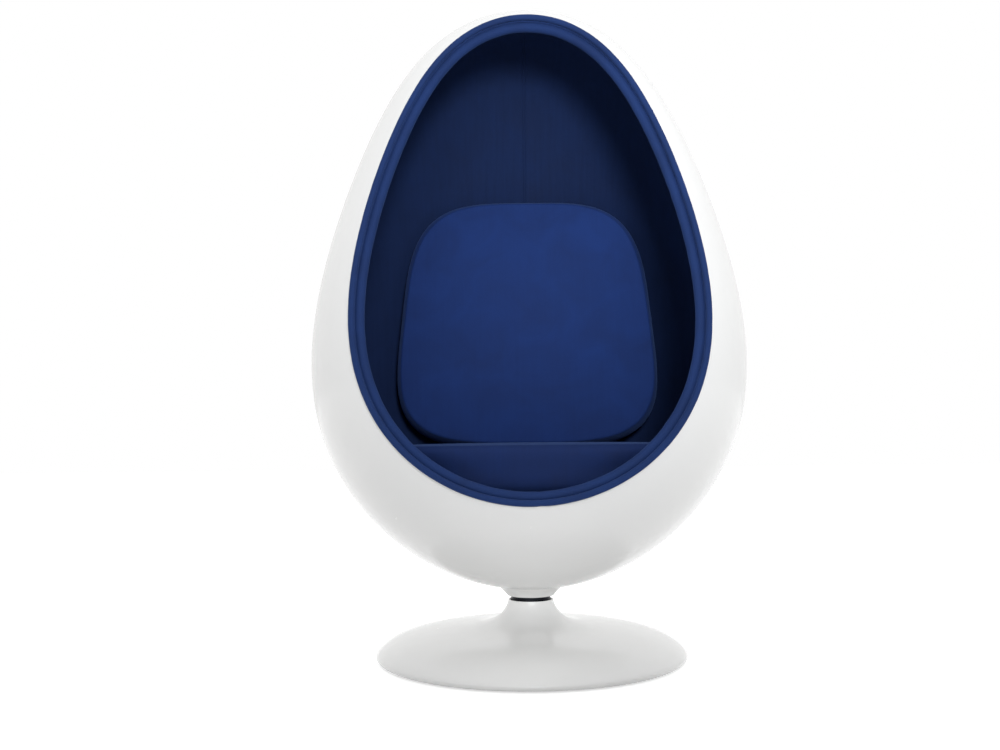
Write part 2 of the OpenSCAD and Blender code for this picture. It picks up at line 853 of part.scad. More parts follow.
// Point of the pad at a place on its outline, from its back on the lining to its front
function back_point(p, level, crown) =
    let (
        z = back_foot + back_h / 2 + p.y,
        front_y = back_set + (z - back_foot) * tan(back_lean),
        wall_y = pod_depth_share * sqrt(max(pow(reach_at(z, lining_face + back_gap), 2) - p.x * p.x, 0))
    )
    [p.x, wall_y + (front_y - wall_y) * level - crown, z];
function back_ring(level, draw, out_share, crown, inset) =
    [for (j = [0 : back_sides - 1])
        let (p = back_edge(full_turn * (j + 0.5) / back_sides, draw + inset) * out_share)
        back_point(p, level, crown) + [0, inset * (2 * level - 1), 0]];
function back_rings(inset) = concat(
    [for (i = [2 : -1 : 0]) back_ring(0, back_round, crown_ring_shares[i][0], 0, inset)],
    [for (i = [0 : len(back_level_shares) - 1])
        back_ring(back_level_shares[i], back_draw_shares[i] * back_round, 1, 0, inset)],
    [for (c = crown_ring_shares) back_ring(1, back_round, c[0], back_crown * c[1], inset)]
);

module back_form(inset) {
    skinned(
        back_rings(inset),
        back_point([0, 0], 0, 0) - [0, inset, 0],
        back_point([0, 0], 1, back_crown) + [0, inset, 0]
    );
}

module back_foam() {
    color("khaki") in_pod() back_form(cover_t + lay_gap);
}

module back_cover() {
    color("midnightblue")
    in_pod()
    difference() {
        back_form(0);
        back_form(cover_t);
    }
}

back_zip_from = 29;
back_zip_to = 36;
back_zip_shares = [0.34, 0.38];

// Point off the back cushion's lower side at a station along it
function back_side(j, level, out) =
    let (
        draws = [for (i = [0 : len(back_level_shares) - 1]) [back_level_shares[i], back_draw_shares[i]]],
        draw = lookup(level, draws) * back_round - lay_gap - out
    )
    back_point(back_edge(full_turn * (j + 0.5) / back_sides, draw), level, 0);

module back_zip() {
    color("#202838")
    in_pod()
        bent_strip([for (j = [back_zip_from : back_zip_to])
            [back_side(j, back_zip_shares[0], 0), back_side(j, back_zip_shares[0], zip_t),
                back_side(j, back_zip_shares[1], zip_t), back_side(j, back_zip_shares[1], 0)]]);
}

floor_glides();
ballast_plate();
base_trumpet();
base_screws();
column();
column_bolts();
lower_bush();
upper_bush();
lower_race();
bearing_balls();
ball_cage();
upper_race();
spindle();
retaining_washer();
retaining_bolt();
shell_collar();
mount_bolts();
inner_pad();
backing_plate();
mount_washers();
mount_nuts();
outer_shell();
lining_foam();
lining_left();
lining_right();
lining_seam();
rim_welt();
rim_roll();
board_blocks();
seat_board();
board_screws();
seat_foam();
seat_cover();
seat_zip();
back_foam();
back_cover();
back_zip();
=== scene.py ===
from functools import lru_cache
from math import acos, atan2, cos, exp, hypot, pi, radians, sin, sqrt, tan, tanh
from types import SimpleNamespace

import bmesh
import bpy
from bpy.props import FloatProperty, FloatVectorProperty, PointerProperty
from mathutils import Matrix, Vector


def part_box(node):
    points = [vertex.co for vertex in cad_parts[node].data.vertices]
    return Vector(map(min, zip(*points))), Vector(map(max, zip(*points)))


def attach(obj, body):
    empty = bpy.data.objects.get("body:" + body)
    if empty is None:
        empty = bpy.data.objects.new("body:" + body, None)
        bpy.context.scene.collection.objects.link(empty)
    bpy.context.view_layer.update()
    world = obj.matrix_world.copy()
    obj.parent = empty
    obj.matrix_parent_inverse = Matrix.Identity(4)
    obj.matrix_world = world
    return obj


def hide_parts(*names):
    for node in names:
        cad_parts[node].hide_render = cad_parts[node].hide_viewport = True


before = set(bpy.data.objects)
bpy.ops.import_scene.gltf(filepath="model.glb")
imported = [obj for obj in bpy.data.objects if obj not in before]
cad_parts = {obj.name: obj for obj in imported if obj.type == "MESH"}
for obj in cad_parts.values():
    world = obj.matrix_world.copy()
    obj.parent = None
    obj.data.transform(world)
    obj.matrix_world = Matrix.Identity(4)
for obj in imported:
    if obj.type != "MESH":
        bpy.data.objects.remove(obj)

bl_info = {
    "name": "Pod chair",
    "version": (1, 0, 0),
    "blender": (4, 5, 0),
    "location": "3D View > Sidebar > Pod chair",
    "description": "Builds the looks of a swivelling pod chair around its packed frame",
    "category": "Object",
}

MM = 0.001
FULL = 2 * pi


def linear(code):
    """Linear colour with alpha for an sRGB hex value."""
    parts = [int(code[i:i + 2], 16) / 255 for i in (1, 3, 5)]
    return [c / 12.92 if c <= 0.04045 else ((c + 0.055) / 1.055) ** 2.4 for c in parts] + [1.0]


def length(name, description, value):
    """A length property, whose default is given in millimetres."""
    return FloatProperty(name=name, description=description, default=value * MM, unit="LENGTH",
                         subtype="DISTANCE", precision=4)


def angle(name, description, value):
    """An angle property, whose default is given in degrees."""
    return FloatProperty(name=name, description=description, default=radians(value), unit="ROTATION",
                         subtype="ANGLE")


def colour(name, description, code):
    """A colour property, whose default is given as an sRGB hex value."""
    return FloatVectorProperty(name=name, description=description, default=linear(code), size=4,
                               subtype="COLOR", min=0, max=1)


class ChairSizes(bpy.types.PropertyGroup):
    """Sizes of the pieces that are modelled here, as the frame has them."""
    pod_w: length("Shell width", "Greatest width of the shell", 898)
    pod_h: length("Shell height", "Height of the shell from its foot to its crown", 1212)
    depth_share: FloatProperty(name="Depth share", description="Depth of a level section against its width",
                               default=0.873)
    clearance: length("Clearance", "Height of the shell's foot above the floor", 149)
    set_forward: length("Set forward", "Distance from the swivel axis forward to the shell's foot", 51)
    lean: angle("Lean", "Lean of the shell backwards", 2.3)
    shell_t: length("Shell wall", "Thickness of the moulded shell", 6)
    opening_mid: length("Opening height", "Height at which the opening's reach is measured", 674)
    opening_reach: length("Opening reach", "Distance forward from the shell's axis to its cut edge", 234)
    opening_lean: angle("Opening lean", "Lean of the opening from the shell's axis", 8.5)
    foam_t: length("Lining foam", "Thickness of the foam inside the shell", 18)
    velvet_t: length("Lining velvet", "Thickness of the velvet lining", 1.5)
    lining_set_back: length("Lining set back", "Distance of the lining's edge behind the shell's edge", 20.3)
    welt_d: length("Welt", "Thickness of the outer welt", 12.4)
    roll_d: length("Roll", "Thickness of the padded roll", 21)
    board_top: length("Seat board", "Height of the seat board's top above the shell's foot", 199)
    seat_behind: length("Seat set back", "Distance from the opening's plane to the seat's top edge", 15)
    seat_h: length("Seat height", "Height of the seat cushion at its edges", 88)
    seat_crown: length("Seat crown", "Rise of the seat cushion's top", 12)
    back_w: length("Back width", "Width of the back cushion at half its height", 574)
    back_h: length("Back height", "Height of the back cushion", 570)
    back_set: length("Back set", "Distance from the shell's axis to the front of the cushion's foot", 150)
    back_crown: length("Back crown", "Rise of the back cushion's front", 32)
    back_lean: angle("Back lean", "Lean of the back cushion's front", 2.7)
    back_round: length("Back rounding", "How far the seams lie inside the bulging sides", 12)
    base_r: length("Foot radius", "Radius of the pedestal's foot", 323)
    lip_h: length("Lip height", "Height at which the pedestal is widest, over its turned-in lip", 12)
    lip_in: length("Lip turn", "How far the lip turns in under the widest circle", 14)
    neck_h: length("Neck height", "Height of the pedestal's neck", 122)
    neck_r: length("Neck radius", "Radius of the pedestal's neck", 47)
    dome_h: length("Dome height", "Rise of the dome from the lip to the neck", 50)
    flare_l: length("Neck flare", "Reach over which the neck flares into the dome", 27)
    base_wall: length("Moulding wall", "Wall of the pedestal's moulding", 4)
    neck_gap: length("Neck gap", "Gap between the neck and the collar", 8)
    collar_r: length("Collar radius", "Radius of the collar at its foot", 48)
    collar_hollow: length("Collar hollow", "Depth of the hollow in the collar's side", 0.8)


class ChairColours(bpy.types.PropertyGroup):
    """Colours of the finishes that show most."""
    shell: colour("Shell", "Gel coat of the shell and the pedestal", "#EDEDEC")
    cushions: colour("Cushions", "Velvet of the two cushions", "#1F3874")
    lining: colour("Lining", "Velvet of the lining", "#162850")
    rim: colour("Rim", "Velvet of the welt and the roll", "#1C3262")


# Shape of the egg's outline, the powers of its corners and curves, and the taper of the back
SWELL = (-0.2583, 0.0208, 0.1838, 0.039)
SEAT_CORNER = 10
BACK_CORNER = 3.7
BACK_TAPER = 0.105
CROWN_POWER = 2.3
DOME_POWER = 5.4
DOME_ROOT = 1.4
FLARE_POWER = 0.72

# Gaps between the pieces, as the frame has them
LAY_GAP = 0.3 * MM
SEAT_GAP = 4 * MM
BACK_GAP = 1.6 * MM
BACK_SINK = 5.6 * MM
BASE_LIFT = 2 * MM

# Screw bosses in the pedestal, the rounding of moulded edges, and the collar's climb and bite
BOSS_COUNT = 6
BOSS_R = 11 * MM
BOSS_IN = 40 * MM
BOSS_CLEAR = 15 * MM
FOOT_EDGE = 0.8 * MM
COLLAR_EDGE = 1 * MM
COLLAR_CLIMB = 60 * MM
COLLAR_BITE = 0.4 * MM

# Seam in the lining: half its slit, the fine lines beside it, how the velvet tucks in, and its tape
SLIT = 1.8 * MM
SEAM_LINES = (12, 8, 5, 3.5, 2.6)
TUCK_REACH = 6 * MM
TUCK_DEPTH = 1.6 * MM
TAPE_HALF = 2.6 * MM
TAPE_LIFT = 0.3 * MM
TAPE_T = 0.5 * MM

# Rim: rings along it, where it is joined, how far that draws it in, and the cord's overlap
RIM_RINGS = 420
RIM_JOINT = 14 * MM
JOINT_REACH = 2.2 * MM
JOINT_DIP = 1.2 * MM
CORD_BITE = 0.5 * MM

# Cushions: cells across a panel, the seat's soft edges, drawn-in boxing, painted shade on the seat, and the
# filling
PANEL_CELLS = 72
SEAT_SOFT = 16 * MM
SEAT_DRAW = 4 * MM
# Share of the cushions' colour that the seat keeps: painted shade, because the seat's front is lit less than
# the back cushion
SEAT_PAINTED_SHADE = 0.52
SEAM_CREASE = 0.6
SWELL_CAP = 8 * MM
SWELL_FRAMES = 20
PRESSURE = 4

# Zips: half width and wall of the tape, height of the teeth, and size of a tooth and the slider
ZIP_HALF = 4 * MM
ZIP_TAPE_T = 0.4 * MM
ZIP_TAPE_AT = 0.2 * MM
ZIP_TEETH_AT = 0.9 * MM
ZIP_TOOTH = (1.5, 3.6, 0.8)
ZIP_SLIDER = (5, 6, 1.3)
SLIDER_PLACE = 2

# Stage: half the floor's side, and the lamps' place, aim, size, power, spread and tint
FLOOR_HALF = 12
LAMPS = {
    "key": ((0.28, -2.9, 1.14), (0.1, 0, 1.08), 0.5, 5.4, 50, "#FAFCFF"),
    "fill": ((-0.25, -2.2, 0.35), (0, 0, 0.07), 0.3, 0.08, 15, "#FFFFFF"),
}

# Camera: its place, lens on a 36 mm sensor, and its heading, pitch and roll
CAMERA_PLACE = (-0.0338, -2.297, 0.468)
CAMERA_LENS = 38.99
CAMERA_SENSOR = 36
CAMERA_TURN = (-0.0113, 0.0542, radians(0.6))


SIZES = SimpleNamespace()


def sizes():
    """The sizes as plain numbers, as each operator last read them."""
    return SIZES


def read_sizes():
    """Reads the size properties, which are slow to ask for in a loop, into plain numbers."""
    for name in ChairSizes.__annotations__:
        setattr(SIZES, name, getattr(bpy.context.scene.chair_sizes, name))
    skin.cache_clear()
    reach_at.cache_clear()
    return SIZES


def colours():
    """The colour properties."""
    return bpy.context.scene.chair_colours


def bare_girth(a):
    """Radius of the egg at the angle a up from its foot, to no scale."""
    up = -cos(a)
    return sin(a) * exp(sum(share * up ** (i + 1) for i, share in enumerate(SWELL)))


GIRTH_PEAK = max(bare_girth(radians(a)) for a in range(181))


def girth(a):
    """Radius of the shell at the angle a up from its foot."""
    return sizes().pod_w / 2 * bare_girth(a) / GIRTH_PEAK


def rise(a):
    """Height above the shell's foot at the angle a."""
    return sizes().pod_h * (1 - cos(a)) / 2


def slope(a):
    """Direction of the egg's outline at the angle a up from its foot."""
    d = 1e-4
    return Vector((girth(a + d) - girth(a - d), rise(a + d) - rise(a - d))).normalized()


@lru_cache(maxsize=None)
def skin(a, inset):
    """Radius and height of the surface that lies inside the egg by an inset."""
    u = slope(a)
    return girth(a) - u.y * inset, rise(a) + u.x * inset


def angle_at(z):
    """Angle up from the shell's foot of a height."""
    return acos(1 - 2 * min(max(z / sizes().pod_h, 0), 1))


@lru_cache(maxsize=None)
def reach_at(z, inset):
    """Radius at a height, before the squeeze, of the surface inside the egg by an inset."""
    a = angle_at(z)
    for _ in range(6):
        a = angle_at(z - slope(a).x * inset)
    return skin(a, inset)[0]


def pod_place():
    """Place of the pod, which leans back a little over the swivel axis."""
    s = sizes()
    return Matrix.Translation((0, -s.set_forward, s.clearance)) @ Matrix.Rotation(-s.lean, 4, "X")


def finish_mesh(bm, name, material, body, sharp=radians(35), place=None):
    """Makes a bmesh an object on a body, smooth but for its sharp edges."""
    if place is not None:
        bmesh.ops.transform(bm, matrix=place, verts=bm.verts)
    for face in bm.faces:
        face.smooth = True
    for edge in bm.edges:
        edge.smooth = len(edge.link_faces) != 2 or edge.calc_face_angle(pi) < sharp
    mesh = bpy.data.meshes.new(name)
    bm.to_mesh(mesh)
    bm.free()
    mesh.materials.append(material)
    piece = bpy.data.objects.new(name, mesh)
    bpy.context.scene.collection.objects.link(piece)
    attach(piece, body)
    return piece


def add(tree, kind, sockets=None, **settings):
    """Adds a node, sets its properties, and links or sets its sockets."""
    node = tree.nodes.new(kind)
    for name, value in settings.items():
        setattr(node, name, value)
    for name, value in (sockets or {}).items():
        if isinstance(value, bpy.types.NodeSocket):
            tree.links.new(value, node.inputs[name])
        else:
            node.inputs[name].default_value = value
    return node


def new_material(name):
    """An empty material, with its tree, its shader and its object coordinates."""
    material = bpy.data.materials.new(name)
    material.use_nodes = True
    tree = material.node_tree
    tree.nodes.clear()
    shader = add(tree, "ShaderNodeBsdfPrincipled")
    add(tree, "ShaderNodeOutputMaterial", {"Surface": shader.outputs[0]})
    coords = add(tree, "ShaderNodeTexCoord").outputs["Object"]
    return material, tree, shader, coords


def scaled(rgba, share):
    """A colour, made darker or lighter by a share."""
    return [c * share for c in rgba[:3]] + [1.0]


def per(millimetres):
    """Noise scale whose features are about that many millimetres across."""
    return 1 / (millimetres * MM)


def gel_coat():
    """Polyester gel coat from a polished mould: deep even gloss with the faintest orange peel."""
    if "white_gel_coat" in bpy.data.materials:
        return bpy.data.materials["white_gel_coat"]
    material, tree, shader, coords = new_material("white_gel_coat")
    base = list(colours().shell)
    cloud = add(tree, "ShaderNodeTexNoise", {"Vector": coords, "Scale": per(240), "Detail": 3.0})
    tint = add(tree, "ShaderNodeMix", {0: cloud.outputs[0], 6: scaled(base, 0.975), 7: base},
               data_type="RGBA")
    tree.links.new(tint.outputs[2], shader.inputs["Base Color"])
    scuff = add(tree, "ShaderNodeTexNoise", {"Vector": coords, "Scale": per(35), "Detail": 6.0})
    rough = add(tree, "ShaderNodeMapRange", {"Value": scuff.outputs[0], "To Min": 0.2, "To Max": 0.3})
    tree.links.new(rough.outputs[0], shader.inputs["Roughness"])
    peel = add(tree, "ShaderNodeTexNoise", {"Vector": coords, "Scale": per(6), "Detail": 1.0})
    bump = add(tree, "ShaderNodeBump", {"Height": peel.outputs[0], "Strength": 0.06, "Distance": 0.2 * MM})
    tree.links.new(bump.outputs[0], shader.inputs["Normal"])
    shader.inputs["IOR"].default_value = 1.5
    shader.inputs["Coat Weight"].default_value = 0.3
    shader.inputs["Coat Roughness"].default_value = 0.08
    return material


def cut_velvet(name, base, streak_share):
    """Cut velvet, woven and sheared: a short pile that lies in brushed patches and shines at its edges."""
    if name in bpy.data.materials:
        return bpy.data.materials[name]
    material, tree, shader, coords = new_material(name)
    base = list(base)
    patch = add(tree, "ShaderNodeTexNoise", {"Vector": coords, "Scale": per(90), "Detail": 4.0,
                                             "Roughness": 0.55, "Distortion": 0.6})
    lay = add(tree, "ShaderNodeMapping", {"Vector": coords, "Scale": (per(7), per(60), per(160))})
    streak = add(tree, "ShaderNodeTexNoise", {"Vector": lay.outputs[0], "Scale": 1.0, "Detail": 2.0})
    blend = add(tree, "ShaderNodeMix", {0: streak_share, 2: patch.outputs[0], 3: streak.outputs[0]})
    level = add(tree, "ShaderNodeMapRange", {"Value": blend.outputs[0], "From Min": 0.3, "From Max": 0.7})
    tint = add(tree, "ShaderNodeMix", {0: level.outputs[0], 6: scaled(base, 0.84), 7: scaled(base, 1.12)},
               data_type="RGBA")
    pile = add(tree, "ShaderNodeTexNoise", {"Vector": coords, "Scale": per(1.6), "Detail": 3.0})
    speck = add(tree, "ShaderNodeMapRange", {"Value": pile.outputs[0], "To Min": 0.88, "To Max": 1.12})
    shade = add(tree, "ShaderNodeVectorMath", {0: tint.outputs[2], "Scale": speck.outputs[0]},
                operation="SCALE")
    tree.links.new(shade.outputs[0], shader.inputs["Base Color"])
    rough = add(tree, "ShaderNodeMapRange", {"Value": patch.outputs[0], "To Min": 0.72, "To Max": 0.95})
    tree.links.new(rough.outputs[0], shader.inputs["Roughness"])
    fine = add(tree, "ShaderNodeBump", {"Height": pile.outputs[0], "Strength": 0.35, "Distance": 0.35 * MM})
    brushed = add(tree, "ShaderNodeBump", {"Height": level.outputs[0], "Strength": 0.25,
                                           "Distance": 1.2 * MM, "Normal": fine.outputs[0]})
    tree.links.new(brushed.outputs[0], shader.inputs["Normal"])
    shader.inputs["Specular IOR Level"].default_value = 0.18
    shader.inputs["Sheen Weight"].default_value = 0.22
    shader.inputs["Sheen Roughness"].default_value = 0.45
    shader.inputs["Sheen Tint"].default_value = linear("#6E8FD0")
    return material


def mottled(name, dark, light, grain, rough, relief, stretch=(1, 1, 1), **numbers):
    """A finish whose colour, gloss and relief follow one noise with features of grain millimetres."""
    if name in bpy.data.materials:
        return bpy.data.materials[name]
    material, tree, shader, coords = new_material(name)
    lay = add(tree, "ShaderNodeMapping", {"Vector": coords, "Scale": [per(grain) * k for k in stretch]})
    grit = add(tree, "ShaderNodeTexNoise", {"Vector": lay.outputs[0], "Scale": 1.0, "Detail": 4.0})
    tint = add(tree, "ShaderNodeMix", {0: grit.outputs[0], 6: linear(dark), 7: linear(light)},
               data_type="RGBA")
    vary = add(tree, "ShaderNodeMapRange", {"Value": grit.outputs[0], "To Min": rough[0],
                                            "To Max": rough[1]})
    bump = add(tree, "ShaderNodeBump", {"Height": grit.outputs[0], "Strength": 0.5,
                                        "Distance": relief * MM})
    tree.links.new(tint.outputs[2], shader.inputs["Base Color"])
    tree.links.new(vary.outputs[0], shader.inputs["Roughness"])
    tree.links.new(bump.outputs[0], shader.inputs["Normal"])
    for socket, value in numbers.items():
        shader.inputs[socket].default_value = value
    return material


def moulded_rubber():
    """Black rubber from a mould: dull, with a dusty bloom."""
    return mottled("moulded_rubber", "#0F0F10", "#1E1E1F", 3, (0.72, 0.92), 0.1, IOR=1.52)


def sand_cast_iron():
    """Grey iron from a sand mould: dark, coarse to the touch and barely shiny."""
    return mottled("sand_cast_iron", "#2A2B2D", "#434447", 1.6, (0.55, 0.8), 0.35, Metallic=1.0)


def zinc_plate():
    """Zinc plated steel: pale grey with a faint cloudy bloom."""
    return mottled("zinc_plate", "#AEB2B6", "#D0D3D5", 2.5, (0.26, 0.44), 0.03, Metallic=1.0)


def powder_coat():
    """Dark powder coat baked on steel: satin, with a fine orange peel."""
    return mottled("powder_coat", "#25272A", "#313438", 1.4, (0.38, 0.55), 0.08, IOR=1.5)


def turned_acetal():
    """Acetal turned on a lathe: waxy ivory with fine rings from the tool."""
    return mottled("turned_acetal", "#D6D2C4", "#EAE7DC", 1.2, (0.3, 0.42), 0.04, (0.2, 0.2, 2), IOR=1.48)


def ground_steel():
    """Hardened bearing steel, ground: bright, with hair lines round it."""
    return mottled("ground_steel", "#8B8E93", "#AEB1B5", 0.9, (0.12, 0.22), 0.01, (0.3, 0.3, 2),
                   Metallic=1.0)


def pressed_brass():
    """Brass pressed from strip: warm yellow, slightly tarnished."""
    return mottled("pressed_brass", "#9C7B3C", "#C7A45A", 3, (0.24, 0.4), 0.03, Metallic=1.0)


def blackened_steel():
    """Steel blackened in a hot bath: near black, with an oily half shine."""
    return mottled("blackened_steel", "#141518", "#232529", 2, (0.3, 0.48), 0.03, Metallic=1.0)


def birch_plywood():
    """Birch plywood, sawn: pale layers about 1.5 mm thick, stacked in the board's thickness."""
    return mottled("birch_plywood", "#A67C4C", "#DDBD8C", 24, (0.55, 0.75), 0.15, (1, 1, 16))


def stained_board():
    """Plywood stained black: matt, with the grain along it just showing."""
    return mottled("stained_board", "#0E0E10", "#1C1B1D", 20, (0.6, 0.8), 0.12, (1, 9, 9))


def moulded_teeth():
    """Acetal zip teeth, dyed dark blue: small and a little shiny."""
    return mottled("moulded_teeth", "#0D1424", "#18223A", 2, (0.3, 0.45), 0.02, IOR=1.48)


def dark_tape():
    """Plain woven cotton tape, dyed near black: flat and dull, behind the teeth of the zips."""
    if "seam_tape" in bpy.data.materials:
        return bpy.data.materials["seam_tape"]
    material, tree, shader, coords = new_material("seam_tape")
    weave = add(tree, "ShaderNodeTexNoise", {"Vector": coords, "Scale": per(1.2), "Detail": 2.0})
    tint = add(tree, "ShaderNodeMix", {0: weave.outputs[0], 6: linear("#070C18"), 7: linear("#121C33")},
               data_type="RGBA")
    tree.links.new(tint.outputs[2], shader.inputs["Base Color"])
    shader.inputs["Roughness"].default_value = 0.85
    return material


def egg_sheet(bm, inset, around=160, up=112):
    """Closed egg surface inside the shell by an inset, from a sphere."""
    made = bmesh.ops.create_uvsphere(bm, u_segments=around, v_segments=up, radius=1)
    for vert in made["verts"]:
        a = acos(max(-1, min(1, -vert.co.z)))
        t = atan2(vert.co.y, vert.co.x)
        far, height = skin(a, inset) if 1e-6 < a < pi - 1e-6 else (0, skin(a, inset)[1])
        vert.co = (far * cos(t), far * sin(t) * sizes().depth_share, height)
    return made["verts"]


def opening_plane(set_back=0):
    """Point and forward normal of the opening's plane, in the pod."""
    s = sizes()
    point = Vector((0, -s.opening_reach + set_back / cos(s.opening_lean), s.opening_mid))
    return point, Vector((0, -cos(s.opening_lean), sin(s.opening_lean)))


def cut(bm, point, normal):
    """Cuts everything on the normal's side away and returns the open edges."""
    bmesh.ops.bisect_plane(bm, geom=bm.verts[:] + bm.edges[:] + bm.faces[:], dist=1e-6, plane_co=point,
                           plane_no=normal, clear_outer=True)
    return [edge for edge in bm.edges if len(edge.link_faces) == 1]


class CHAIR_OT_shell(bpy.types.Operator):
    """Egg shell with its opening: an outer and an inner skin, joined round the cut edge"""
    bl_idname = "chair.shell"
    bl_label = "Shell"

    def execute(self, context):
        s = read_sizes()
        bm = bmesh.new()
        point, normal = opening_plane()
        egg_sheet(bm, 0)
        cut(bm, point, normal)
        inner = bmesh.new()
        egg_sheet(inner, s.shell_t)
        cut(inner, point, normal)
        bmesh.ops.reverse_faces(inner, faces=inner.faces)
        spare = bpy.data.meshes.new("inner_skin")
        inner.to_mesh(spare)
        inner.free()
        bm.from_mesh(spare)
        bpy.data.meshes.remove(spare)
        rims = [edge for edge in bm.edges if len(edge.link_faces) == 1]
        bmesh.ops.bridge_loops(bm, edges=rims)
        piece = finish_mesh(bm, "shell", gel_coat(), "pod", place=pod_place())
        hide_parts("outer_shell")
        return {"FINISHED"}


def spun(bm, outline, steps=144):
    """Turns an outline of (radius, height) points about the swivel axis."""
    verts = [bm.verts.new((r, 0, z)) for r, z in outline]
    edges = [bm.edges.new(pair) for pair in zip(verts, verts[1:])]
    bmesh.ops.spin(bm, geom=verts + edges, cent=(0, 0, 0), axis=(0, 0, 1), angle=FULL, steps=steps,
                   use_merge=True)
    bmesh.ops.remove_doubles(bm, verts=bm.verts, dist=1e-6)
    bmesh.ops.recalc_face_normals(bm, faces=bm.faces)


def dome(r):
    """Height of the pedestal's dome above its lip, at a radius."""
    s = sizes()
    return s.dome_h * max(1 - (r / s.base_r) ** DOME_POWER, 0) ** (1 / DOME_ROOT)


def foot_outline():
    """Outline of the pedestal's moulding, out from its neck and in again under its lip."""
    s = sizes()
    points = []
    for i in range(81):
        r = s.neck_r + (s.base_r - s.neck_r) * (1 - cos(pi * i / 80)) / 2
        neck = (s.neck_h - s.lip_h - dome(s.neck_r)) * exp(-((r - s.neck_r) / s.flare_l) ** FLARE_POWER)
        points.append((r, s.lip_h + dome(r) + neck))
    for i in range(1, 13):
        a = pi / 2 * i / 12
        points.append((s.base_r - s.lip_in * (1 - cos(a)), s.lip_h - (s.lip_h - BASE_LIFT) * sin(a)))
    return points


def inside_of(points, wall, low, high):
    """The same outline, moved inwards by a wall."""
    moved = []
    for i, (r, z) in enumerate(points):
        before, after = points[max(i - 1, 0)], points[min(i + 1, len(points) - 1)]
        run, drop = after[0] - before[0], after[1] - before[1]
        far = hypot(run, drop)
        moved.append((max(r + wall * drop / far, low), min(z - wall * run / far, high)))
    return moved


class CHAIR_OT_pedestal(bpy.types.Operator):
    """Domed foot that flares up into a slim neck, with its wall and its screw bosses"""
    bl_idname = "chair.pedestal"
    bl_label = "Pedestal"

    def execute(self, context):
        s = read_sizes()
        bm = bmesh.new()
        outside = foot_outline()
        inside = inside_of(outside, s.base_wall, s.neck_r - s.base_wall, s.neck_h)
        spun(bm, outside + inside[::-1] + [outside[0]])
        crisp = [edge for edge in bm.edges if edge.calc_face_angle(0) > radians(50)]
        bmesh.ops.bevel(bm, geom=crisp, offset=FOOT_EDGE, segments=2, affect="EDGES", profile=0.5,
                        material=-1)
        plate_low, plate_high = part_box("ballast_plate")
        ring = plate_high.x - BOSS_IN
        under = min(z for r, z in inside if r < ring + BOSS_CLEAR)
        for i in range(BOSS_COUNT):
            place = Matrix.Rotation(FULL * i / BOSS_COUNT, 4, "Z") @ Matrix.Translation(
                (ring, 0, (plate_high.z + under) / 2))
            bmesh.ops.create_cone(bm, cap_ends=True, segments=32, radius1=BOSS_R, radius2=BOSS_R,
                                  depth=under - plate_high.z, matrix=place)
        piece = finish_mesh(bm, "pedestal_moulding", gel_coat(), "base")
        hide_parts("base_trumpet")
        return {"FINISHED"}


def outside_egg(p):
    """Whether a point in the pod lies outside the egg."""
    s = sizes()
    return p.z <= 0 or p.z >= s.pod_h or hypot(p.x, p.y / s.depth_share) > girth(angle_at(p.z))


class CHAIR_OT_collar(bpy.types.Operator):
    """Collar under the shell: a slanting side that runs up to meet the egg"""
    bl_idname = "chair.collar"
    bl_label = "Collar"

    def execute(self, context):
        s = read_sizes()
        bm = bmesh.new()
        foot = s.neck_h + s.neck_gap
        into_pod = pod_place().inverted()
        steps, sides = 8, 128
        turn = bm.verts.layers.float.new("turn")
        share = bm.verts.layers.float.new("share")
        made = bmesh.ops.create_circle(bm, cap_ends=True, segments=sides, radius=s.collar_r)
        bmesh.ops.translate(bm, verts=made["verts"], vec=(0, 0, foot))
        for vert in made["verts"]:
            vert[turn] = atan2(vert.co.y, vert.co.x)
        climb = {}
        for vert in made["verts"]:
            low, high = 0, COLLAR_CLIMB
            for _ in range(30):
                mid = (low + high) / 2
                far = s.collar_r + mid
                point = Vector((far * cos(vert[turn]), far * sin(vert[turn]), foot + mid))
                low, high = (mid, high) if outside_egg(into_pod @ point) else (low, mid)
            climb[round(vert[turn], 4)] = low + COLLAR_BITE
        edges = [edge for edge in bm.edges if len(edge.link_faces) == 1]
        for i in range(1, steps + 1):
            made = bmesh.ops.extrude_edge_only(bm, edges=edges)
            edges = [g for g in made["geom"] if isinstance(g, bmesh.types.BMEdge)]
            for vert in (g for g in made["geom"] if isinstance(g, bmesh.types.BMVert)):
                vert[share] = i / steps
                up = climb[round(vert[turn], 4)] * vert[share]
                hollow = s.collar_hollow * 4 * vert[share] * (1 - vert[share])
                far = s.collar_r + up - hollow * sqrt(0.5)
                vert.co = (far * cos(vert[turn]), far * sin(vert[turn]), foot + up + hollow * sqrt(0.5))
        bmesh.ops.contextual_create(bm, geom=edges)
        bmesh.ops.recalc_face_normals(bm, faces=bm.faces)
        rim = [e for e in bm.edges if all(abs(v.co.z - foot) < 1e-6 for v in e.verts)]
        bmesh.ops.bevel(bm, geom=rim, offset=COLLAR_EDGE, segments=3, affect="EDGES", profile=0.5,
                        material=-1)
        piece = finish_mesh(bm, "collar", gel_coat(), "pod")
        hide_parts("shell_collar")
        return {"FINISHED"}


def lining_face():
    """How far the velvet's face lies inside the shell's outside."""
    s = sizes()
    return s.shell_t + LAY_GAP + s.foam_t + LAY_GAP + s.velvet_t


